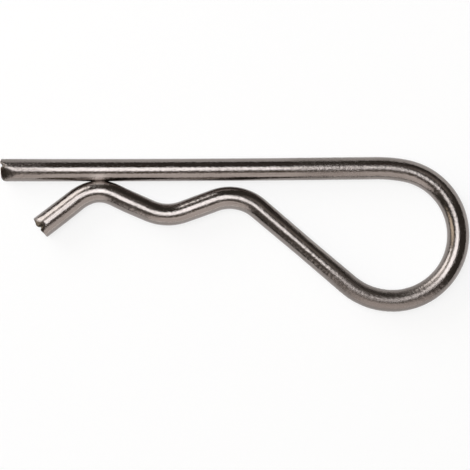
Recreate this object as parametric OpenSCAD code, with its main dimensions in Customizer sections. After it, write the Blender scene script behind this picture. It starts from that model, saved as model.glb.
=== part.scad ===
// Hairpin cotter pin, formed from one length of round spring wire.
//
// The straight leg goes through the cross hole of a shaft. The sprung leg snaps over the outside of the
// shaft and grips it in the cradle, between the neck and the nose. The bow joins the two legs and is the
// spring, and the eye inside it is what a finger pulls on.
//
// The clip lies flat: z = 0 is under the wire, the bow is at +X, the straight leg is on the +Y side, and
// the shaft runs along Z. The origin is in the middle of the outline.

/* [Wire] */
// Diameter of the round spring wire
wire_d = 3.05; // [2.4:0.05:3.7]
// Width and depth of the break around each sheared end
end_break = 0.25; // [0.05:0.05:0.6]

/* [Shaft] */
// Diameter of the shaft that the clip holds
shaft_d = 9.5; // [7.5:0.1:11.5]
// From the free end of the straight leg to the middle of the shaft
shaft_x = 22.6; // [18:0.05:27.5]
// How far the cradle stands inside the surface of the shaft, which sets the grip
grip = 0.25; // [0:0.05:0.6]

/* [Straight leg] */
// Length of the straight lead, from its free end
lead_l = 9.5; // [8:0.1:11.5]
// Length over which the leg takes its slight outward set
set_l = 32; // [26:0.5:38.5]
// Angle of that outward set
set_a = 0.6; // [0.4:0.05:1]

/* [Bow] */
// From the crest of the neck to the outside of the bow
eye_l = 32.5; // [27:0.05:40]
// Centreline radius of the easy bend that leads into the bow
shoulder_r = 20; // [14:0.5:26]
// Angle of the easy bend
shoulder_a = 11; // [6:0.5:16]
// Centreline radius of the bow, which turns until the wire runs back along the leg
bow_r = 8.9; // [7.2:0.1:10.8]
// Centreline radius of the bend that opens the bow into the arm
runout_r = 9.3; // [7.5:0.1:11.5]

/* [Neck] */
// From the side of the shaft to the crest of the neck, along the leg
neck_out = 3.65; // [3:0.05:4.6]
// Gap between the straight leg and the crest of the neck
neck_gap = 0.7; // [0.1:0.05:1.6]
// Centreline radius of the neck
neck_r = 6; // [4:0.1:7.2]

/* [Nose] */
// From the side of the shaft to the crest of the nose, along the leg
nose_out = 4.5; // [3.6:0.05:5.5]
// Gap between the straight leg and the crest of the nose, which just clears it
nose_gap = 0.02; // [0.02:0.01:1]
// Centreline radius of the nose
nose_r = 5.4; // [3:0.1:6.5]
// Angle of the flared tip to the straight leg
tip_a = 37.5; // [25:0.5:50]
// Length of the straight part of the tip
tip_l = 6; // [4:0.1:10]

/* [Hidden] */
$fn = 96;
wire_r = wire_d / 2;
shaft_r = shaft_d / 2;

// The pieces of the wire are joined by balls. How far a ball stands proud of the wire, and how far short
// of its end a bend stops inside one
ball_proud = 0.005;
ball_cover = 0.05;

// Heading of a wire that runs straight back along the leg. The lead's own heading is 0.
BACK = -180;

// Stations of the three crests along the lead, and the overall length
neck_x = shaft_x + shaft_r + neck_out;
nose_x = shaft_x - shaft_r - nose_out;
overall_l = neck_x + eye_l;

// Straight leg: the set is an arc of large radius, and the run behind it makes up the overall length
set_r = set_l / (set_a * PI / 180);
bow_in = set_a - shoulder_a;
run_end_x = overall_l - wire_r - bow_r - shoulder_r * sin(set_a) + (shoulder_r - bow_r) * sin(bow_in);
run_l = (run_end_x - lead_l - set_r * sin(set_a)) / cos(set_a);
run_end_y = set_r * (1 - cos(set_a)) + run_l * sin(set_a);

// Centres of the bends, from the middle of the leg's free end
shoulder_c = [run_end_x, run_end_y] - shoulder_r * left_of(set_a);
bow_c = shoulder_c + (shoulder_r - bow_r) * left_of(bow_in);
runout_c = bow_c + (bow_r - runout_r) * left_of(BACK);
neck_c = [neck_x, -wire_d - neck_gap - neck_r];
cradle_r = shaft_r + wire_r;
cradle_c = [shaft_x, grip];
nose_c = [nose_x, -wire_d - nose_gap - nose_r];

// Headings of the straights of the sprung leg, each one tangent to the bends at its two ends
arm_h = link_heading(runout_c, -runout_r, neck_c, neck_r);
fall_h = link_heading(neck_c, neck_r, cradle_c, -cradle_r);
ramp_h = link_heading(cradle_c, -cradle_r, nose_c, nose_r);
tip_h = BACK + tip_a;

// Where the lead lies across the clip, so that the outline is centred
lead_y = (bow_r - bow_c.y - shoulder_c.y - shoulder_r) / 2;

// Unit vector that points to the left of a heading
function left_of(heading) = [-sin(heading), cos(heading)];

// Heading of the straight between two bends. A radius is positive where the wire turns left, and
// negative where it turns right.
function link_heading(centre_a, radius_a, centre_b, radius_b) =
    let (step = centre_b - centre_a)
    atan2(step.y, step.x) - asin((radius_b - radius_a) / norm(step));

// Length of the same straight
function link_length(centre_a, radius_a, centre_b, radius_b) =
    sqrt(pow(norm(centre_b - centre_a), 2) - pow(radius_b - radius_a, 2));

// Turn from one heading to another, from -180 to 180 degrees
function turn(from, to) = (to - from + 900) % 360 - 180;

// The wire is drawn as it is formed. Each module adds a length of it along +X and moves its children to
// the new end. A ball stands wherever a bend meets a straight or another bend. It is a hair thicker than
// the wire and takes in the ends of both pieces, so that they are one solid at any angle.
module ball() {
    rotate([0, 90, 0])
        sphere(r = wire_r + ball_proud);
}

module lead() {
    rotate([0, 90, 0])
        cylinder(d1 = wire_d - 2 * end_break, d2 = wire_d, h = end_break);
    translate([end_break, 0, 0])
        rotate([0, 90, 0])
            cylinder(d = wire_d, h = lead_l - end_break);
    translate([lead_l, 0, 0])
        children();
}

module straight(length) {
    ball();
    rotate([0, 90, 0])
        cylinder(d = wire_d, h = length);
    translate([length, 0, 0])
        children();
}

// A positive angle turns left. The ring stops short of both its ends, inside the balls there.
module bend(radius, angle) {
    centre_y = sign(angle) * radius;
    short_a = ball_cover / radius * 180 / PI;
    ball();
    mirror([0, angle < 0 ? 1 : 0, 0])
        translate([0, radius, 0])
            rotate(short_a - 90)
                rotate_extrude(angle = abs(angle) - 2 * short_a)
                    translate([radius, 0])
                        circle(d = wire_d);
    translate([0, centre_y, 0])
        rotate(angle)
            translate([0, -centre_y, 0])
                children();
}

// The straight leg, from its free end
module straight_leg() {
    lead()
    bend(set_r, set_a)
    straight(run_l)
        children();
}

// The bow, from the end of the straight leg to the start of the arm
module bow() {
    bend(shoulder_r, -shoulder_a)
    bend(bow_r, turn(bow_in, BACK))
    bend(runout_r, turn(BACK, arm_h))
        children();
}

// The sprung leg, from the end of the bow to the tip
module sprung_leg() {
    straight(link_length(runout_c, -runout_r, neck_c, neck_r))
    bend(neck_r, turn(arm_h, fall_h))
    straight(link_length(neck_c, neck_r, cradle_c, -cradle_r))
    bend(cradle_r, turn(fall_h, ramp_h))
    straight(link_length(cradle_c, -cradle_r, nose_c, nose_r))
    bend(nose_r, turn(ramp_h, tip_h))
    straight(tip_l - end_break)
    rotate([0, 90, 0])
        cylinder(d1 = wire_d, d2 = wire_d - 2 * end_break, h = end_break);
}

module spring_wire() {
    color([0.56, 0.53, 0.51])
        translate([-overall_l / 2, lead_y, wire_r + ball_proud])
            straight_leg()
            bow()
            sprung_leg();
}

spring_wire();
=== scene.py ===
"""Looks of a hairpin cotter pin, one length of drawn steel wire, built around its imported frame.

The part frame is in metres: +X along the pin towards its bow, +Z up from the floor that it lies on, and
the leg's free end at -X. Sizes in the wire's classes are in millimetres and degrees, as on a bending
sheet. Sizes of the studio are in metres and degrees.
"""

import logging
import math
from dataclasses import dataclass, field
from enum import Enum

import bpy
import numpy as np
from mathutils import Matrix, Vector


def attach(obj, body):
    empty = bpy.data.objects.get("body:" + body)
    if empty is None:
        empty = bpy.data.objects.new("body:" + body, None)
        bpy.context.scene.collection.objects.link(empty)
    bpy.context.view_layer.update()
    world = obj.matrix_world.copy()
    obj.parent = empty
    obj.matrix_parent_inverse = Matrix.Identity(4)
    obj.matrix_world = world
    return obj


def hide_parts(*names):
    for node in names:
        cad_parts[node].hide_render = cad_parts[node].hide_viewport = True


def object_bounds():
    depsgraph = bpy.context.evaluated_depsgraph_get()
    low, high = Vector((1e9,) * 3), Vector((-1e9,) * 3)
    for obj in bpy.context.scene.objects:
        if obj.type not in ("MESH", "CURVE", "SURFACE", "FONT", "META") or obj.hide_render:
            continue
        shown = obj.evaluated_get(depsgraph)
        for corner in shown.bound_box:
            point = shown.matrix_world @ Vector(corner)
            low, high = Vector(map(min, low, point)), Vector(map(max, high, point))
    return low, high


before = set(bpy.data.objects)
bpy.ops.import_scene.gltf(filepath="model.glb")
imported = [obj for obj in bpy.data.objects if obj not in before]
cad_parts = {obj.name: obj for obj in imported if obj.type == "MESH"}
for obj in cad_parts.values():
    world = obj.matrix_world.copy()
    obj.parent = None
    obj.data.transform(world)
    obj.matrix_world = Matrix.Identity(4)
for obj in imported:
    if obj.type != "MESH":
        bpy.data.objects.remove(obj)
CAD_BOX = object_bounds()

LOG = logging.getLogger("hairpin")

# A millimetre in metres, and a distance in millimetres that only stands for rounding
MM = 0.001
SLACK = 1e-9

# Heading of a wire that runs straight back along the leg, in degrees. The lead's own heading is 0
BACK = -180.0

# What each corner of the wire's mesh carries for the finishes
RUN_MAP = "wire_run"
WORKED_MAP = "worked"
# The spot where leg and nose touch, rubbed bare and also painted lighter there as a painted reflection
RUBBED_AND_LIGHT_MAP = "rubbed_and_painted_light"

# Places of a Mix node's sockets for a share, two colours and the mixed colour
MIX_SHARE, MIX_FIRST, MIX_SECOND = 0, 6, 7
MIX_RESULT = 2

Socket = bpy.types.NodeSocket
Colour = tuple[float, float, float, float]
Triple = tuple[float, float, float]
Pair = tuple[float, float]
Faces = list[tuple[int, ...]]


class Zone(Enum):
    """The kinds of surface on the wire, each with its place in the mesh's list of materials."""

    DRAWN = 0
    CUT = 1


class Curve(Enum):
    """The ways in which a value runs from one end of its range to the other."""

    SOFT = "SMOOTHSTEP"
    STRAIGHT = "LINEAR"


def toward(azimuth: float, zenith: float) -> Vector:
    """Gives the unit direction at an azimuth from +X towards +Y and an angle down from +Z, in degrees."""
    turn, fall = math.radians(azimuth), math.radians(zenith)
    return Vector((math.sin(fall) * math.cos(turn), math.sin(fall) * math.sin(turn), math.cos(fall)))


def ahead_of(heading: float) -> np.ndarray:
    """Gives the unit direction in plan of a heading in radians."""
    return np.array([math.cos(heading), math.sin(heading)])


def left_of(heading: float) -> np.ndarray:
    """Gives the unit direction in plan to the left of a heading in radians."""
    return np.array([-math.sin(heading), math.cos(heading)])


def short_way(turn: float | np.ndarray) -> float | np.ndarray:
    """Gives the same turn the short way round, from -180 to 180 degrees."""
    return (turn + 180.0) % 360.0 - 180.0


def band(low: int, high: int, sides: int) -> Faces:
    """Gives the faces from one ring to the next, by each ring's first corner, looking out of the wire."""
    turned = [(side + 1) % sides for side in range(sides)]
    return [(low + side, low + on, high + on, high + side) for side, on in enumerate(turned)]


def write_map(mesh: bpy.types.Mesh, name: str, values: np.ndarray) -> None:
    """Stores a number or a vector with each corner of a mesh.

    Args:
        mesh: The mesh.
        name: The name by which a material reads the values.
        values: One number or one row of three for each corner.
    """
    kind, entry = ("FLOAT_VECTOR", "vector") if values.ndim == 2 else ("FLOAT", "value")
    held = mesh.attributes.new(name, kind, "POINT")
    held.data.foreach_set(entry, values.astype(np.float32).ravel())


@dataclass(frozen=True)
class Pattern:
    """A noise that is laid along the wire's run, so that it follows every bend.

    Attributes:
        scale: How often it changes in a millimetre along the wire, to its left and up.
        detail: How many finer layers it has.
        rough: How strong each finer layer is against the one before.
    """

    scale: Triple
    detail: float
    rough: float


class NodeBoard:
    """Short calls that lay out a node tree."""

    def __init__(self, tree: bpy.types.NodeTree) -> None:
        """Clears the tree, ready for new nodes."""
        self.tree = tree
        tree.nodes.clear()

    def fill(self, node: bpy.types.Node, place: int | str, value: object) -> None:
        """Fills one input of a node.

        Args:
            node: The node.
            place: The input's place or name.
            value: A value, or the output socket to link.
        """
        if isinstance(value, Socket):
            self.tree.links.new(value, node.inputs[place])
        else:
            node.inputs[place].default_value = value

    def add(self, kind: str, settings: dict[str, str] | None = None, **inputs: object) -> bpy.types.Node:
        """Adds a node, sets its options and fills its inputs.

        Args:
            kind: The node's type name without its ShaderNode prefix.
            settings: Options of the node by name.
            inputs: Values or output sockets by input name, with _ for a space, or i0, i1 for a place.

        Returns:
            The new node.
        """
        node = self.tree.nodes.new("ShaderNode" + kind)
        for name, value in (settings or {}).items():
            setattr(node, name, value)
        for name, value in inputs.items():
            by_place = name[0] == "i" and name[1:].isdigit()
            self.fill(node, int(name[1:]) if by_place else name.replace("_", " "), value)
        return node

    def math(self, operation: str, *values: object) -> Socket:
        """Adds a Math node over the values and returns its output."""
        inputs = {f"i{k}": value for k, value in enumerate(values)}
        return self.add("Math", {"operation": operation}, **inputs).outputs[0]

    def vector(self, operation: str, output: int | str = 0, **inputs: object) -> Socket:
        """Adds a VectorMath node and returns one of its outputs."""
        return self.add("VectorMath", {"operation": operation}, **inputs).outputs[output]

    def read(self, name: str, output: str = "Fac") -> Socket:
        """Reads what the mesh's corners carry under a name."""
        return self.add("Attribute", {"attribute_name": name}).outputs[output]

    def noise(self, run: Socket, pattern: Pattern) -> Socket:
        """Lays a pattern over the wire's run and returns its value."""
        place = self.vector("MULTIPLY", i0=run, i1=pattern.scale)
        return self.add("TexNoise", Vector=place, Scale=1.0, Detail=pattern.detail,
                        Roughness=pattern.rough).outputs[0]

    def spread(self, value: Socket, source: Pair, target: Pair = (0.0, 1.0),
               curve: Curve = Curve.SOFT) -> Socket:
        """Maps a value's range to another.

        Args:
            value: The socket that gives the value.
            source: The two values that become the target's two.
            target: What they become.
            curve: How the value runs between them.

        Returns:
            The mapped value's socket.
        """
        node = self.add("MapRange", {"interpolation_type": curve.value})
        for place, number in enumerate((value, *source, *target)):
            self.fill(node, place, number)
        return node.outputs[0]

    def mixed(self, share: Socket, first: Socket | Colour, second: Colour) -> Socket:
        """Mixes two colours.

        Args:
            share: The second colour's share.
            first: The colour where the share is zero.
            second: The colour where the share is one.

        Returns:
            The mixed colour's socket.
        """
        node = self.add("Mix", {"data_type": "RGBA"})
        for place, value in ((MIX_SHARE, share), (MIX_FIRST, first), (MIX_SECOND, second)):
            self.fill(node, place, value)
        return node.outputs[MIX_RESULT]

    def metal(self, colour: Socket, rough: Socket, relief: Socket) -> None:
        """Ends a bare metal's nodes.

        Args:
            colour: What it reflects head on.
            rough: Its roughness.
            relief: Its surface's height, in millimetres.
        """
        bump = self.add("Bump", Strength=1.0, Distance=MM, Height=relief).outputs[0]
        metal = self.add("BsdfPrincipled", Base_Color=colour, Metallic=1.0, Roughness=rough, Normal=bump)
        self.add("OutputMaterial", Surface=metal.outputs[0])


def new_material(name: str) -> tuple[bpy.types.Material, NodeBoard]:
    """Makes a material without nodes.

    Args:
        name: The material's name.

    Returns:
        The material and the board that lays out its nodes.
    """
    made = bpy.data.materials.new(name)
    made.use_nodes = True
    return made, NodeBoard(made.node_tree)


@dataclass(frozen=True)
class DrawnSteel:
    """The bright surface that a drawing die leaves along spring wire.

    Attributes:
        colour: What the clean metal reflects head on.
        shade: What it reflects where it is stained.
        rubbed_and_painted_light: What it reflects where it is rubbed bare, a far lighter colour that is also
            a painted reflection in the crease where leg and nose touch.
        lines: The draw lines.
        ripple: The slow waves of a drawn surface.
        grain: The fine unevenness.
        flecks: The small pits.
        cloud: The patches in which the stain lies.
        fleck_range: Where in their noise the pits start and are full.
        line_stain: Where in the lines' noise the stain starts and is full.
        cloud_stain: The same for the patches.
        fleck_wear: The pits' share in the roughness.
        line_wear: The lines' share in the roughness.
        wear_range: The values of the two shares' sum that give the two ends of gloss.
        gloss: The lowest and the highest roughness that the die leaves.
        worked_gloss: What the marks of the bending tools add to the roughness.
        rubbed_gloss: What rubbing adds to it.
        worked_stain: What the marks of the bending tools add to the stain.
        line_depth: Depth of the lines, in millimetres, as all depths here.
        ripple_depth: Depth of the slow waves.
        grain_depth: Depth of the fine unevenness.
        worked_depth: What the marks of the bending tools add to it.
        fleck_depth: Depth of the pits.
    """

    colour: Colour = (0.262, 0.233, 0.218, 1.0)
    shade: Colour = (0.200, 0.174, 0.160, 1.0)
    rubbed_and_painted_light: Colour = (0.62, 0.57, 0.54, 1.0)
    lines: Pattern = Pattern((0.09, 6.0, 6.0), 3.0, 0.6)
    ripple: Pattern = Pattern((0.9, 2.2, 2.2), 2.0, 0.5)
    grain: Pattern = Pattern((8.0, 6.5, 6.5), 2.0, 0.6)
    flecks: Pattern = Pattern((2.2, 7.0, 7.0), 2.0, 0.6)
    cloud: Pattern = Pattern((0.22, 0.9, 0.9), 3.0, 0.6)
    fleck_range: Pair = (0.55, 0.68)
    line_stain: Pair = (0.42, 0.66)
    cloud_stain: Pair = (0.38, 0.66)
    fleck_wear: float = 0.35
    line_wear: float = 0.65
    wear_range: Pair = (0.2, 0.8)
    gloss: Pair = (0.10, 0.20)
    worked_gloss: float = 0.115
    rubbed_gloss: float = 0.25
    worked_stain: float = 0.55
    line_depth: float = 0.0015
    ripple_depth: float = 0.0025
    grain_depth: float = 0.009
    worked_depth: float = 0.010
    fleck_depth: float = 0.004

    def material(self) -> bpy.types.Material:
        """Builds the wire's drawn surface.

        Returns:
            The material.
        """
        made, board = new_material("drawn_steel")
        run = board.read(RUN_MAP, "Vector")
        worked, rubbed_and_painted_light = board.read(WORKED_MAP), board.read(RUBBED_AND_LIGHT_MAP)
        lines = board.noise(run, self.lines)
        ripple = board.noise(run, self.ripple)
        grain = board.noise(run, self.grain)
        flecks = board.spread(board.noise(run, self.flecks), self.fleck_range)
        cloud = board.spread(board.noise(run, self.cloud), self.cloud_stain)
        stain = board.math("MULTIPLY", board.spread(lines, self.line_stain), cloud)
        stain = board.math("MULTIPLY_ADD", worked, self.worked_stain, stain)
        # Painted reflection: round the spot where leg and nose touch, the colour is mixed towards a far
        # lighter one that stands in for light reflected in that crease, as well as for the rubbing
        colour = board.mixed(rubbed_and_painted_light, board.mixed(stain, self.colour, self.shade), self.rubbed_and_painted_light)
        worn = board.math("MULTIPLY", lines, self.line_wear)
        worn = board.math("MULTIPLY_ADD", flecks, self.fleck_wear, worn)
        rough = board.spread(worn, self.wear_range, self.gloss, Curve.STRAIGHT)
        for mark, more in ((worked, self.worked_gloss), (rubbed_and_painted_light, self.rubbed_gloss)):
            rough = board.math("MULTIPLY_ADD", mark, more, rough)
        relief = board.math("MULTIPLY", lines, self.line_depth)
        deep = board.math("MULTIPLY_ADD", worked, self.worked_depth, self.grain_depth)
        for layer, depth in ((ripple, self.ripple_depth), (grain, deep), (flecks, -self.fleck_depth)):
            relief = board.math("MULTIPLY_ADD", layer, depth, relief)
        board.metal(colour, rough, relief)
        return made


@dataclass(frozen=True)
class ShearedSteel:
    """The duller face that a cropping blade leaves across the wire: a burnished band over a torn one.

    Attributes:
        colour: What its lighter spots reflect head on.
        shade: What its darker spots reflect.
        scores: The blade's scores.
        torn: The torn grain.
        tone_range: Where in the grain's noise the tone starts to turn and has turned.
        ragged: How far the grain moves the edge between the two bands, in millimetres.
        band_range: The heights between which the torn band becomes the burnished one, in millimetres.
        gloss: Roughness of the torn band and of the burnished one.
        depth: Depth of the scores and of the grain, in millimetres.
    """

    colour: Colour = (0.155, 0.134, 0.116, 1.0)
    shade: Colour = (0.085, 0.072, 0.060, 1.0)
    scores: Pattern = Pattern((3.0, 9.0, 1.1), 3.0, 0.6)
    torn: Pattern = Pattern((4.0, 5.0, 5.0), 4.0, 0.65)
    tone_range: Pair = (0.35, 0.65)
    ragged: float = 0.5
    band_range: Pair = (-0.1, 0.45)
    gloss: Pair = (0.52, 0.27)
    depth: float = 0.02

    def material(self) -> bpy.types.Material:
        """Builds the surface of the two cut faces.

        Returns:
            The material.
        """
        made, board = new_material("sheared_steel")
        run = board.read(RUN_MAP, "Vector")
        scores = board.noise(run, self.scores)
        torn = board.noise(run, self.torn)
        height = board.add("SeparateXYZ", Vector=run).outputs["Z"]
        burnished = board.spread(board.math("MULTIPLY_ADD", torn, self.ragged, height), self.band_range)
        colour = board.mixed(board.spread(torn, self.tone_range), self.colour, self.shade)
        rough = board.spread(burnished, (0.0, 1.0), self.gloss, Curve.STRAIGHT)
        relief = board.math("MULTIPLY", torn, self.depth)
        relief = board.math("MULTIPLY_ADD", scores, self.depth, relief)
        board.metal(colour, rough, relief)
        return made


@dataclass(frozen=True)
class TablePaper:
    """The plain white sheet that the pin lies on.

    The glow is what the sheet adds for the camera and for the mirror images of the sheet alike. The rest
    of its white is lamplight, so it keeps the pin's shadow. The lamplight fades away from the pin, and the
    glow makes up for that.

    Attributes:
        colour: The sheet's own colour.
        rough: The paper's roughness.
        glow: What it adds round the pin, and what it adds where no lamplight reaches it.
        fade: How far from the pin the lamplight starts to fade and is gone, in metres.
    """

    colour: Colour = (0.30, 0.30, 0.30, 1.0)
    rough: float = 0.5
    glow: Pair = (0.72, 0.98)
    fade: Pair = (0.06, 0.8)

    def material(self) -> bpy.types.Material:
        """Builds the sheet's surface.

        Returns:
            The material.
        """
        made, board = new_material("table_paper")
        path = board.add("LightPath").outputs
        seen = board.math("MAXIMUM", path["Is Camera Ray"], path["Is Glossy Ray"])
        seen = board.math("MAXIMUM", seen, path["Is Transmission Ray"])
        off = board.vector("LENGTH", "Value", i0=board.add("NewGeometry").outputs["Position"])
        glow = board.math("MULTIPLY", seen, board.spread(off, self.fade, self.glow))
        light = board.add("Emission", Color=(1.0, 1.0, 1.0, 1.0), Strength=glow)
        paper = board.add("BsdfDiffuse", Color=self.colour, Roughness=self.rough)
        both = board.add("AddShader", i0=paper.outputs[0], i1=light.outputs[0])
        board.add("OutputMaterial", Surface=both.outputs[0])
        return made


@dataclass(frozen=True)
class Stretch:
    """One stretch of the wire, straight where turn is zero, with its bend's turn in degrees to the left."""

    name: str
    length: float
    turn: float = 0.0


@dataclass(frozen=True)
class CroppedEnd:
    """How a cropping blade leaves one end of the wire.

    Angles go round the wire from its left side, over its top, as it runs on from the leg's free end.

    Attributes:
        rolls: Each pulled-in side of the edge: its middle in degrees, its depth and its length.
        roll_edge: How sharply each roll ends to its sides.
        torn: How far the dull sheared face runs back over the first roll.
        torn_edge: How sharply the sheared face ends to its sides.
        nick: A nick down across the cut: how far left of the middle it lies, its half width and its depth.
        lips: Each place where the cut's rim stands out: its middle and half width in degrees, and how far.
        flats: Each flat that the blade pressed: its middle and half width in degrees, and its length.
        edge: The rounding left all round.
        nick_run: How far back from the cut the nick fades.
        lip_run: How far back from the cut the lips fade.
        least_side: The least share of its length that a roll keeps at its sides.
        least_facing: The least cosine by which a flat's depth is divided.
    """

    rolls: tuple[Triple, ...]
    roll_edge: float
    torn: float
    torn_edge: float
    nick: Triple
    lips: tuple[Triple, ...] = ()
    flats: tuple[Triple, ...] = ()
    edge: float = 0.07
    nick_run: float = 0.55
    lip_run: float = 0.25
    least_side: float = 0.05
    least_facing: float = 0.1

    def shear(self, around: np.ndarray) -> np.ndarray:
        """Gives how far back from the cut the dull sheared face reaches at each angle, in radians."""
        facing = np.cos(around - math.radians(self.rolls[0][0]))
        return self.torn * np.maximum(facing, 0.0) ** self.torn_edge

    def roll(self, around: np.ndarray, back: float, radius: float) -> np.ndarray:
        """Gives how far the blade has pulled the surface in.

        Args:
            around: Angles round the wire, in radians.
            back: Distance from the cut face, in millimetres.
            radius: The wire's radius, in millimetres.

        Returns:
            The depth at each angle, in millimetres.
        """
        pulled = np.full_like(around, self.edge * max(1.0 - back / self.edge, 0.0) ** 2)
        for middle, depth, length in self.rolls:
            side = (0.5 + 0.5 * np.cos(around - math.radians(middle))) ** self.roll_edge
            reach = length * np.maximum(side, self.least_side)
            pulled += depth * side * np.maximum(1.0 - back / reach, 0.0) ** 2
        for middle, width, length in self.flats:
            facing = np.maximum(np.cos(around - math.radians(middle)), self.least_facing)
            half_angle = math.radians(width) * math.sqrt(max(1.0 - back / length, 0.0))
            pulled += radius * np.maximum(1.0 - math.cos(half_angle) / facing, 0.0)
        return pulled

    def rim(self, around: np.ndarray, back: float) -> np.ndarray:
        """Gives how far the surface stands out past the cut, along the wire.

        Args:
            around: Angles round the wire, in radians.
            back: Distance from the cut face, in millimetres.

        Returns:
            The distance at each angle, in millimetres.
        """
        out = np.zeros_like(around)
        for middle, width, height in self.lips:
            apart = short_way(np.degrees(around) - middle)
            out += height * np.exp(-((apart / width) ** 2))
        return out * math.exp(-back / self.lip_run)

    def nicked(self, back: np.ndarray, across: np.ndarray) -> np.ndarray:
        """Gives how far back the nick moves places, by their distances from the cut and to the left."""
        middle, width, depth = self.nick
        return depth * np.exp(-(((across - middle) / width) ** 2) - np.maximum(back, 0.0) / self.nick_run)


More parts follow.
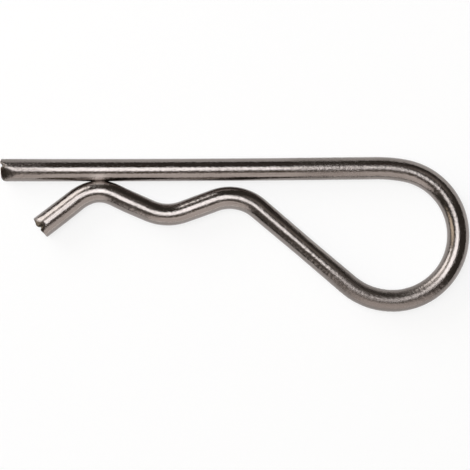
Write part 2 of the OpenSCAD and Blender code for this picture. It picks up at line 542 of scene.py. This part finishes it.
@dataclass
class SpringWire:
    """The pin itself: one wire from the leg's free end, round the bow, over neck and cradle to the tip.

    The driving sizes come first and have the names that they have in the part's source. The last four
    values are worked out from them.

    Attributes:
        wire_d: Diameter of the wire.
        shaft_d: Diameter of the shaft that the pin holds.
        shaft_x: From the leg's free end to the shaft's middle.
        grip: How far the cradle stands inside the shaft's surface.
        lead_l: Length of the straight lead.
        set_l: Length over which the leg takes its slight outward set.
        set_a: Angle of that set.
        eye_l: From the neck's crest to the bow's outside.
        shoulder_r: Radius of the easy bend before the bow.
        shoulder_a: Angle of that bend.
        bow_r: Radius of the bow.
        runout_r: Radius of the bend that opens the bow into the arm.
        neck_out: From the shaft's side to the neck's crest, along the leg.
        neck_gap: From the leg to that crest.
        neck_r: Radius of the neck.
        nose_out: From the shaft's side to the nose's crest, along the leg.
        nose_gap: From the leg to that crest, before the spring presses it on.
        nose_r: Radius of the nose.
        tip_a: Angle of the flared tip to the leg.
        tip_l: Length of its straight part.
        sides: Corners of the wire's section.
        ring_step: Distance from one ring of the section to the next.
        end_step: The same distance near the two ends.
        end_zone: How far from its ends the wire has the closer rings.
        nose_press: How far the spring presses the nose's crest towards the leg.
        press_run: How far along the wire to both sides of the crest the press fades.
        free_end: The cut at the leg's free end.
        tip_end: The cut at the tip.
        cap_shares: Sizes of the rings that close a cut face, as shares of its rim.
        cap_crown: How far a cut face's middle stands out.
        grain: Depth of the surface's unevenness as drawn.
        worked_grain: Its depth where the bending tools have marked the wire.
        grain_step: Length of the unevenness along the wire.
        grain_round: How much each spot takes from its neighbours round the wire.
        grain_along: How much it takes from its neighbours along it.
        grain_seed: Start of the unevenness's random draws.
        worked: Each run that the tools have marked: where it starts and ends, and how hard.
        worked_hold: How far the marking would rise in its run's middle, if it weren't held at one.
        worked_fade: How far past its run the marking ends.
        bright_spot_r: Radius of the spot where leg and nose have rubbed, which is also painted lighter there
            as a painted reflection.
        bright_spot_rise: How high over the wire's middle that spot lies.
        widths: The wire's width in plan after bending and coiling, as a share of its diameter.
        stretches: The wire's stretches in order.
        start: Where the middle of the leg's free end lies in plan.
        overall: The pin's overall length.
        nose_x: From the leg's free end to the nose's crest.
    """

    wire_d: float = 3.05
    shaft_d: float = 9.5
    shaft_x: float = 22.6
    grip: float = 0.25
    lead_l: float = 9.5
    set_l: float = 32.0
    set_a: float = 0.6
    eye_l: float = 32.5
    shoulder_r: float = 20.0
    shoulder_a: float = 11.0
    bow_r: float = 8.9
    runout_r: float = 9.3
    neck_out: float = 3.65
    neck_gap: float = 0.7
    neck_r: float = 6.0
    nose_out: float = 4.5
    nose_gap: float = 0.02
    nose_r: float = 5.4
    tip_a: float = 37.5
    tip_l: float = 6.0
    sides: int = 64
    ring_step: float = 0.1
    end_step: float = 0.035
    end_zone: float = 1.3
    nose_press: float = 0.17
    press_run: float = 2.6
    free_end: CroppedEnd = CroppedEnd(
        rolls=((111.0, 0.48, 2.5), (182.0, 0.42, 0.62)), roll_edge=5.5, torn=0.78, torn_edge=1.4,
        nick=(0.62, 0.18, 0.34), lips=((40.0, 9.0, 0.08),))
    tip_end: CroppedEnd = CroppedEnd(
        rolls=((95.0, 0.34, 1.35),), roll_edge=4.5, torn=0.95, torn_edge=9.0,
        nick=(0.03, 0.14, 0.29), lips=((118.0, 18.0, 0.17), (68.0, 13.0, 0.09)), flats=((124.0, 20.0, 1.5),))
    cap_shares: tuple[float, ...] = (0.97, 0.88, 0.72, 0.52, 0.3, 0.1)
    cap_crown: float = 0.05
    grain: float = 0.0030
    worked_grain: float = 0.0055
    grain_step: float = 0.1
    grain_round: float = 0.25
    grain_along: float = 0.9
    grain_seed: int = 31
    worked: tuple[Triple, ...] = (
        (-4.0, 6.5, 0.7), (39.5, 50.0, 0.95), (50.0, 55.0, 0.6), (73.0, 91.5, 1.35))
    worked_hold: float = 1.5
    worked_fade: float = 0.8
    bright_spot_r: float = 1.0
    bright_spot_rise: float = 0.75
    widths: dict[str, float] = field(default_factory=lambda: {
        "bow": 0.99, "runout": 0.97, "arm": 0.945, "neck": 1.0, "cradle": 0.975, "nose": 0.985, "tip": 1.03})
    stretches: list[Stretch] = field(init=False)
    start: np.ndarray = field(init=False)
    overall: float = field(init=False)
    nose_x: float = field(init=False)

    def __post_init__(self) -> None:
        """Works out the wire's stretches from its driving sizes, as the bending sheet does."""
        half, shaft = self.wire_d / 2, self.shaft_d / 2
        neck_x = self.shaft_x + shaft + self.neck_out
        self.overall = neck_x + self.eye_l
        self.nose_x = self.shaft_x - shaft - self.nose_out
        bow_in = self.set_a - self.shoulder_a
        set_turn, bow_turn = math.radians(self.set_a), math.radians(bow_in)
        set_r, set_sin, set_cos = self.set_l / set_turn, math.sin(set_turn), math.cos(set_turn)
        run_x = self.overall - half - self.bow_r - self.shoulder_r * set_sin
        run_x += (self.shoulder_r - self.bow_r) * math.sin(bow_turn)
        run_l = (run_x - self.lead_l - set_r * set_sin) / set_cos
        run_y = set_r * (1 - set_cos) + run_l * set_sin
        shoulder = np.array([run_x, run_y]) - self.shoulder_r * left_of(set_turn)
        bow = shoulder + (self.shoulder_r - self.bow_r) * left_of(bow_turn)
        runout = bow + (self.bow_r - self.runout_r) * left_of(math.radians(BACK))
        neck = np.array([neck_x, -self.wire_d - self.neck_gap - self.neck_r])
        cradle = np.array([self.shaft_x, self.grip])
        nose = np.array([self.nose_x, -self.wire_d - self.nose_gap - self.nose_r])
        arm, arm_l = self.tangent(runout, -self.runout_r, neck, self.neck_r)
        fall, fall_l = self.tangent(neck, self.neck_r, cradle, -shaft - half)
        ramp, ramp_l = self.tangent(cradle, -shaft - half, nose, self.nose_r)
        self.stretches = [
            Stretch("lead", self.lead_l),
            Stretch("set", self.set_l, self.set_a),
            Stretch("run", run_l),
            self.bend("shoulder", self.shoulder_r, self.set_a, bow_in),
            self.bend("bow", self.bow_r, bow_in, BACK),
            self.bend("runout", self.runout_r, BACK, arm),
            Stretch("arm", arm_l),
            self.bend("neck", self.neck_r, arm, fall),
            Stretch("fall", fall_l),
            self.bend("cradle", shaft + half, fall, ramp),
            Stretch("ramp", ramp_l),
            self.bend("nose", self.nose_r, ramp, BACK + self.tip_a),
            Stretch("tip", self.tip_l),
        ]
        self.start = np.array([-self.overall, self.bow_r - bow[1] - shoulder[1] - self.shoulder_r]) / 2

    @staticmethod
    def bend(name: str, radius: float, heading: float, on: float) -> Stretch:
        """Gives the bend of a centreline radius that turns the wire from a heading to another, in degrees."""
        turn = short_way(on - heading)
        return Stretch(name, radius * math.radians(abs(turn)), turn)

    @staticmethod
    def tangent(near: np.ndarray, near_r: float, far: np.ndarray, far_r: float) -> Pair:
        """Gives the straight that leaves one bend and runs into the next.

        Args:
            near: Centre of the bend that the straight leaves.
            near_r: Its radius, positive where the wire turns left round it.
            far: Centre of the next bend.
            far_r: Its radius, with its sign.

        Returns:
            The straight's heading in degrees and its length in millimetres.
        """
        apart, wider = far - near, far_r - near_r
        reach = float(np.linalg.norm(apart))
        heading = math.degrees(math.atan2(apart[1], apart[0])) - math.degrees(math.asin(wider / reach))
        return heading, math.sqrt(reach**2 - wider**2)

    @property
    def length(self) -> float:
        """The wire's whole length, in millimetres."""
        return sum(part.length for part in self.stretches)

    @property
    def around(self) -> np.ndarray:
        """Angles of the section's corners, in radians from the wire's left side and over its top."""
        return np.linspace(0.0, 2 * math.pi, self.sides, endpoint=False)

    def start_of(self, name: str) -> float:
        """Gives the distance along the wire at which a stretch starts."""
        names = [part.name for part in self.stretches]
        return sum(part.length for part in self.stretches[: names.index(name)])

    def stations(self) -> np.ndarray:
        """Gives the distances along the wire at which it has a ring, closer together near its ends.

        Returns:
            The distances, in millimetres.
        """
        zone = np.arange(0.0, self.end_zone, self.end_step)
        count = int((self.length - 2 * self.end_zone) / self.ring_step)
        middle = np.linspace(self.end_zone, self.length - self.end_zone, count)
        return np.concatenate([zone, middle, self.length - zone[::-1]])

    def fullness(self, along: np.ndarray) -> np.ndarray:
        """Gives the wire's width in plan as a share of its diameter, after bending and coiling.

        Args:
            along: Distances along the wire, in millimetres.

        Returns:
            The share at each distance.
        """
        middles = [self.start_of(part.name) + part.length / 2 for part in self.stretches]
        shares = [self.widths.get(part.name, 1.0) for part in self.stretches]
        return np.interp(along, middles, shares)

    def work(self, along: np.ndarray) -> np.ndarray:
        """Gives how hard the bending tools have marked the surface, with zero where they haven't.

        Args:
            along: Distances along the wire, in millimetres.

        Returns:
            The marking at each distance.
        """
        marked = np.zeros_like(along)
        for first, last, strength in self.worked:
            middle, half = (first + last) / 2, (last - first) / 2
            off = np.abs(along - middle) / (half + self.worked_fade)
            marked = np.maximum(marked, strength * np.clip(self.worked_hold * (1 - off**2), 0, 1))
        return marked

    def rubbed_and_painted_light(self, form: np.ndarray) -> np.ndarray:
        """Gives how bare the surface is rubbed round the place where nose and leg touch, which is also how
        far it is painted lighter there as a painted reflection.

        Args:
            form: The mesh's corners, in millimetres.

        Returns:
            The rubbing and painted reflection at each corner, from zero to one.
        """
        half = self.wire_d / 2
        spot = np.array([self.nose_x - self.overall / 2, self.start[1] - half, half + self.bright_spot_rise])
        return np.exp(-((np.linalg.norm(form - spot, axis=1) / self.bright_spot_r) ** 2))

    def unevenness(self, along: np.ndarray) -> np.ndarray:
        """Gives the surface's fine unevenness, in millimetres outward, with more where tools have marked it.

        Args:
            along: Distances along the wire, in millimetres.

        Returns:
            One row for each distance, with a value for each side of the section.
        """
        at_zero, past_end = 1, 2
        count = int(self.length / self.grain_step) + at_zero + past_end
        rows = np.random.default_rng(self.grain_seed).normal(size=(count, self.sides))
        rows = rows + self.grain_round * (np.roll(rows, 1, 1) + np.roll(rows, -1, 1))
        rows[1:-1] += self.grain_along * (rows[:-2] + rows[2:])
        rows /= rows.std()
        place = along / self.grain_step
        low = place.astype(int)
        share = (place - low)[:, None]
        depth = self.grain + (self.worked_grain - self.grain) * self.work(along)
        return depth[:, None] * (rows[low] * (1 - share) + rows[low + 1] * share)

    def centreline(self, along: np.ndarray) -> tuple[np.ndarray, np.ndarray]:
        """Follows the stretches to each distance along the wire.

        Args:
            along: Distances from the leg's free end, in millimetres.

        Returns:
            The points in the part frame's plan, and the headings in radians.
        """
        points, headings = np.zeros((len(along), 2)), np.zeros(len(along))
        at, heading, done = self.start.copy(), 0.0, 0.0
        for part in self.stretches:
            here = (along >= done - SLACK) & (along <= done + part.length + SLACK)
            run, turn = along[here] - done, math.radians(part.turn)
            if turn:
                radius = part.length / turn
                turned = heading + run / radius
                centre = at + radius * left_of(heading)
                points[here] = centre + radius * np.column_stack([np.sin(turned), -np.cos(turned)])
                headings[here] = turned
                heading += turn
                at = centre - radius * left_of(heading)
            else:
                ahead = ahead_of(heading)
                points[here], headings[here] = at + run[:, None] * ahead, heading
                at = at + part.length * ahead
            done += part.length
        return points, headings

    def pressed(self, points: np.ndarray, along: np.ndarray) -> np.ndarray:
        """Moves the nose's crest hard against the leg, where the pin's spring holds it.

        Args:
            points: The centreline's points.
            along: Their distances along the wire.

        Returns:
            The points, moved towards the leg round the crest.
        """
        nose = along > self.start_of("ramp")
        crest = along[nose][np.argmax(points[nose, 1])]
        moved = points.copy()
        moved[:, 1] += self.nose_press * np.exp(-(((along - crest) / self.press_run) ** 2))
        return moved

    def clear_of_leg(self, ring: np.ndarray) -> np.ndarray:
        """Flattens a ring of the nose where the leg holds it back.

        Args:
            ring: The ring's corners, in millimetres.

        Returns:
            The corners, none of them inside the leg.
        """
        half = self.wire_d / 2
        off = ring[:, 1:] - np.array([self.start[1], half])
        reach = np.linalg.norm(off, axis=1)
        short = np.maximum(half - reach, 0.0)
        out = ring.copy()
        out[:, 1:] += off * (short / np.maximum(reach, SLACK))[:, None]
        return out

    def sweep(self, along: np.ndarray, headings: np.ndarray,
              points: np.ndarray) -> tuple[list[np.ndarray], list[np.ndarray]]:
        """Places a ring of the wire's section at each distance along it.

        Args:
            along: Distances along the wire, in millimetres.
            headings: The wire's headings there, in radians.
            points: The centreline's points there.

        Returns:
            The rings in the part frame, in millimetres, and each corner's place along and across the wire.
        """
        around, half, length = self.around, self.wire_d / 2, self.length
        full, uneven, ramp = self.fullness(along), self.unevenness(along), self.start_of("ramp")
        rings, runs = [], []
        for k, here in enumerate(along):
            pulled = self.free_end.roll(around, here, half) + self.tip_end.roll(around, length - here, half)
            push = self.tip_end.rim(around, length - here) - self.free_end.rim(around, here)
            across = (half * full[k] - pulled + uneven[k]) * np.cos(around)
            high = (half - pulled + uneven[k]) * np.sin(around)
            plan = points[k] + np.outer(across, left_of(headings[k])) + np.outer(push, ahead_of(headings[k]))
            ring = np.column_stack([plan, half + high])
            rings.append(self.clear_of_leg(ring) if here > ramp else ring)
            runs.append(np.column_stack([here + push, across, high]))
        return rings, runs

    def skin(self, along: np.ndarray) -> tuple[Faces, list[int]]:
        """Joins the rings along the wire.

        Args:
            along: The rings' distances along the wire, in millimetres.

        Returns:
            The faces, and the kind of surface that each of them is.
        """
        faces, zones = [], []
        middles = self.around + math.pi / self.sides
        free_cut, tip_cut = self.free_end.shear(middles), self.tip_end.shear(middles)
        for k in range(len(along) - 1):
            faces += band(k * self.sides, (k + 1) * self.sides, self.sides)
            cut = (along[k] < free_cut) | (self.length - along[k + 1] < tip_cut)
            zones += np.where(cut, Zone.CUT.value, Zone.DRAWN.value).tolist()
        return faces, zones

    def close(self, rings: list[np.ndarray], runs: list[np.ndarray], first: int, sign: float,
              heading: float) -> Faces:
        """Closes a cut end with rings that shrink to its middle over a slightly crowned face.

        Args:
            rings: The rings made so far, which grow here.
            runs: Their places along and across the wire, which grow here.
            first: The end's ring.
            sign: One where the face looks ahead along the wire, or minus one.
            heading: The wire's heading there, in radians.

        Returns:
            The end's faces.
        """
        faces: Faces = []
        rim, rim_run = rings[first], runs[first]
        middle, middle_run = rim.mean(0), rim_run.mean(0)
        ahead = np.append(ahead_of(heading), 0.0)
        last = first * self.sides
        for share in self.cap_shares:
            crown = sign * self.cap_crown * (1 - share**2)
            start = sum(len(ring) for ring in rings)
            rings.append(middle + (rim - middle) * share + ahead * crown)
            runs.append(middle_run + (rim_run - middle_run) * share + np.array([crown, 0.0, 0.0]))
            faces += band(last, start, self.sides) if sign > 0 else band(start, last, self.sides)
            last = start
        cap = tuple(range(last, last + self.sides))
        faces.append(cap if sign > 0 else cap[::-1])
        return faces

    def cut_nicks(self, form: np.ndarray, places: np.ndarray, tip_heading: float) -> np.ndarray:
        """Presses the blade's nicks into the two cuts.

        Args:
            form: The mesh's corners, in millimetres.
            places: Their places along and across the wire.
            tip_heading: The wire's heading at the tip, in radians.

        Returns:
            The corners, moved back from each cut.
        """
        along, across = places[:, 0], places[:, 1]
        moved = form.copy()
        moved[:, 0] += self.free_end.nicked(along, across)
        moved[:, :2] -= np.outer(self.tip_end.nicked(self.length - along, across), ahead_of(tip_heading))
        return moved

    def mesh(self) -> bpy.types.Mesh:
        """Sweeps the wire's section along its run, closes both cut ends and lays out its maps.

        Returns:
            The wire's mesh.
        """
        along = self.stations()
        points, headings = self.centreline(along)
        rings, runs = self.sweep(along, headings, self.pressed(points, along))
        faces, zones = self.skin(along)
        for first, sign in ((0, -1.0), (len(along) - 1, 1.0)):
            faces += self.close(rings, runs, first, sign, headings[first])
        zones += [Zone.CUT.value] * (len(faces) - len(zones))
        places = np.concatenate(runs)
        form = self.cut_nicks(np.concatenate(rings), places, headings[-1])
        made = bpy.data.meshes.new("spring_wire_form")
        made.from_pydata((form * MM).tolist(), [], faces)
        made.polygons.foreach_set("material_index", zones)
        made.polygons.foreach_set("use_smooth", [True] * len(faces))
        write_map(made, RUN_MAP, places)
        write_map(made, WORKED_MAP, self.work(places[:, 0]))
        write_map(made, RUBBED_AND_LIGHT_MAP, self.rubbed_and_painted_light(form))
        made.update()
        return made

    def build(self) -> bpy.types.Object:
        """Makes the wire's piece, dresses it and stands it for the frame's node.

        Returns:
            The piece.
        """
        made = self.mesh()
        for finish in (DrawnSteel(), ShearedSteel()):
            made.materials.append(finish.material())
        piece = bpy.data.objects.new("drawn_wire", made)
        bpy.context.scene.collection.objects.link(piece)
        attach(piece, "root")
        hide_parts("spring_wire")
        return piece


@dataclass(frozen=True)
class Glow:
    """A soft patch of the studio's walls and ceiling, as the pin sees it.

    Attributes:
        azimuth: Where its middle lies, in degrees from +X.
        zenith: Its middle's angle down from straight up.
        inner: The half angle within which it has its full strength.
        outer: The half angle where it ends.
        colour: What it adds at full strength.
    """

    azimuth: float
    zenith: float
    inner: float
    outer: float
    colour: Triple


@dataclass(frozen=True)
class Lamp:
    """A studio lamp with a flat face, aimed at the pin. Its angles are in degrees, as the pin sees them.

    Attributes:
        name: The lamp's name.
        azimuth: Where it stands, from +X.
        zenith: Its angle down from straight up.
        distance: How far off it stands, in metres.
        width: The half angle of its face across.
        height: The half angle of its face up and down.
        level: How bright its face's middle is, where white paper in full light is one.
        colour: The colour of its light.
        hard: The share of its face, from the middle out, that has the full level.
        mirrored: Whether bright metal shows its face.
        lights: Whether it lights anything but bright metal.
    """

    name: str
    azimuth: float
    zenith: float
    distance: float
    width: float
    height: float
    level: float
    colour: Triple = (1.0, 1.0, 1.0)
    hard: float = 0.9
    mirrored: bool = True
    lights: bool = True

    def power(self, light: bpy.types.AreaLight) -> float:
        """Gives the power that the level calls for over the oval face."""
        area = light.size * light.size_y * math.pi / 4
        return self.level * math.pi * area

    def shade(self, light: bpy.types.AreaLight) -> None:
        """Fades the face towards its rim, which lies half its width from its middle.

        Args:
            light: The lamp's light.
        """
        middle, rim = (0.5, 0.5, 0.0), 0.5
        light.use_nodes = True
        board = NodeBoard(light.node_tree)
        face = board.add("NewGeometry").outputs["Parametric"]
        out = board.vector("DISTANCE", "Value", i0=face, i1=middle)
        soft = board.spread(out, (rim * self.hard, rim), (1.0, 0.0))
        board.add("OutputLight", Surface=board.add("Emission", Strength=soft).outputs[0])

    def build(self) -> None:
        """Makes the lamp and aims it."""
        light = bpy.data.lights.new(self.name, "AREA")
        light.shape = "ELLIPSE"
        light.size = 2 * self.distance * math.tan(math.radians(self.width))
        light.size_y = 2 * self.distance * math.tan(math.radians(self.height))
        light.energy = self.power(light)
        light.color = self.colour
        self.shade(light)
        lamp = bpy.data.objects.new(self.name, light)
        bpy.context.scene.collection.objects.link(lamp)
        lamp.location = self.distance * toward(self.azimuth, self.zenith)
        lamp.rotation_mode = "QUATERNION"
        lamp.rotation_quaternion = lamp.location.to_track_quat("Z", "Y")
        lamp.visible_camera = False
        lamp.visible_glossy = self.mirrored
        lamp.visible_diffuse = self.lights


@dataclass
class Studio:
    """The white sheet with its turned-up rim, the room's soft glow, the lamps and the card at the side.

    Attributes:
        sheet_r: The sheet's radius.
        sheet_z: Its height, a hair under the pin.
        sheet_sides: Corners of its outline.
        flat_rings: Radii of the rings that divide its flat middle.
        rim_run: Width of its turned-up rim.
        rim_h: Height of that rim.
        rim_steps: Steps in which it turns up.
        room: The room's own dim light.
        glows: The brighter patches of wall and ceiling.
        lamps: The lamps, and the card that only bright metal shows.
    """

    sheet_r: float = 2.2
    sheet_z: float = -0.00001
    sheet_sides: int = 128
    flat_rings: Pair = (0.12, 0.6)
    rim_run: float = 0.25
    rim_h: float = 0.13
    rim_steps: int = 6
    room: Triple = (0.085, 0.077, 0.066)
    glows: tuple[Glow, ...] = (
        Glow(265.0, 30.0, 8.0, 34.0, (0.14, 0.125, 0.115)),
        Glow(53.0, 40.0, 3.0, 19.0, (0.27, 0.245, 0.23)),
        Glow(187.0, 66.0, 8.0, 21.0, (1.60, 1.40, 1.12)),
        Glow(145.0, 42.0, 8.0, 25.0, (0.62, 0.60, 0.57)),
    )
    lamps: tuple[Lamp, ...] = (
        Lamp("key_lamp", 142.0, 12.0, 0.60, 23.5, 23.5, 3.8, (0.96, 0.985, 1.02), hard=0.48),
        Lamp("side_lamp", 137.0, 65.0, 0.40, 29.0, 18.5, 3.4, hard=0.7),
        Lamp("side_card", 277.0, 69.0, 0.14, 40.0, 40.0, 1.16, (1.0, 0.95, 0.93), hard=0.75, lights=False),
        Lamp("table_lamp", 90.0, 0.0, 0.70, 8.0, 8.0, 17.0, mirrored=False),
    )

    def outline(self) -> list[Pair]:
        """Gives the radius and the height of each ring of the sheet, from its middle out.

        Returns:
            The radii and heights.
        """
        flat_r = self.sheet_r - self.rim_run
        steps = [(reach, 0.0) for reach in (*self.flat_rings, flat_r)]
        for step in range(1, self.rim_steps + 1):
            rise = self.rim_h * (step / self.rim_steps) ** 2
            steps.append((flat_r + self.rim_run * step / self.rim_steps, rise))
        return steps

    def sheet(self) -> None:
        """Makes the sheet, flat round the pin and turned up at its far rim."""
        sides, steps = self.sheet_sides, self.outline()
        angles = [2 * math.pi * side / sides for side in range(sides)]
        corners = [(0.0, 0.0, self.sheet_z)]
        for reach, rise in steps:
            corners += [(reach * math.cos(a), reach * math.sin(a), self.sheet_z + rise) for a in angles]
        faces: Faces = [(0, 1 + side, 1 + (side + 1) % sides) for side in range(sides)]
        for k in range(len(steps) - 1):
            looking_down = band(1 + k * sides, 1 + (k + 1) * sides, sides)
            faces += [(a, d, c, b) for a, b, c, d in looking_down]
        made = bpy.data.meshes.new("white_sheet")
        made.from_pydata(corners, [], faces)
        made.polygons.foreach_set("use_smooth", [True] * len(faces))
        made.materials.append(TablePaper().material())
        floor = bpy.data.objects.new("white_sheet", made)
        bpy.context.scene.collection.objects.link(floor)

    def world(self) -> None:
        """Makes the room round the pin: dim, with soft patches of wall and ceiling."""
        made = bpy.data.worlds.new("studio_room")
        made.use_nodes = True
        board = NodeBoard(made.node_tree)
        way = board.add("TexCoord").outputs["Generated"]
        total = board.add("CombineXYZ", i0=self.room[0], i1=self.room[1], i2=self.room[2]).outputs[0]
        for glow in self.glows:
            middle = tuple(toward(glow.azimuth, glow.zenith))
            facing = board.vector("DOT_PRODUCT", "Value", i0=way, i1=middle)
            low, high = math.cos(math.radians(glow.outer)), math.cos(math.radians(glow.inner))
            light = board.vector("SCALE", i0=glow.colour, Scale=board.spread(facing, (low, high)))
            total = board.vector("ADD", i0=total, i1=light)
        room = board.add("Background", Color=total, Strength=1.0)
        board.add("OutputWorld", Surface=room.outputs[0])
        bpy.context.scene.world = made

    def build(self) -> None:
        """Sets up the sheet, the room and the lamps."""
        self.sheet()
        self.world()
        for lamp in self.lamps:
            lamp.build()
            LOG.info("lamp %s at level %.2f", lamp.name, lamp.level)


@dataclass(frozen=True)
class Camera:
    """The camera, straight above the pin with +Y up in its view. All but clip is in millimetres.

    Attributes:
        centre_x: Where it stands along the pin.
        centre_y: Where it stands across the pin.
        across: Width of its view at the wire's middle.
        lens: Its focal length.
        sensor: Its sensor's width.
        clip: How near and how far it sees, in metres.
    """

    centre_x: float = -0.04
    centre_y: float = -0.068
    across: float = 63.74
    lens: float = 200.0
    sensor: float = 36.0
    clip: Pair = (0.01, 20.0)

    def build(self, middle_z: float) -> None:
        """Makes the camera and gives it to the scene.

        Args:
            middle_z: Height of the wire's middle, in metres, where the view is as wide as across.
        """
        view = bpy.data.cameras.new("camera")
        view.lens, view.sensor_width = self.lens, self.sensor
        view.clip_start, view.clip_end = self.clip
        camera = bpy.data.objects.new("camera", view)
        bpy.context.scene.collection.objects.link(camera)
        height = middle_z + self.across * MM * self.lens / self.sensor
        camera.location = (self.centre_x * MM, self.centre_y * MM, height)
        bpy.context.scene.camera = camera


def main() -> None:
    """Builds the pin, the studio and the camera."""
    logging.basicConfig(level=logging.INFO, format="%(name)s: %(message)s")
    wire = SpringWire()
    piece = wire.build()
    LOG.info("piece %s: %d faces, %.1f mm of wire", piece.name, len(piece.data.polygons), wire.length)
    Studio().build()
    low, high = CAD_BOX
    Camera().build((low.z + high.z) / 2)
    bpy.context.scene.view_settings.view_transform = "Standard"


if __name__ == "__main__":
    main()
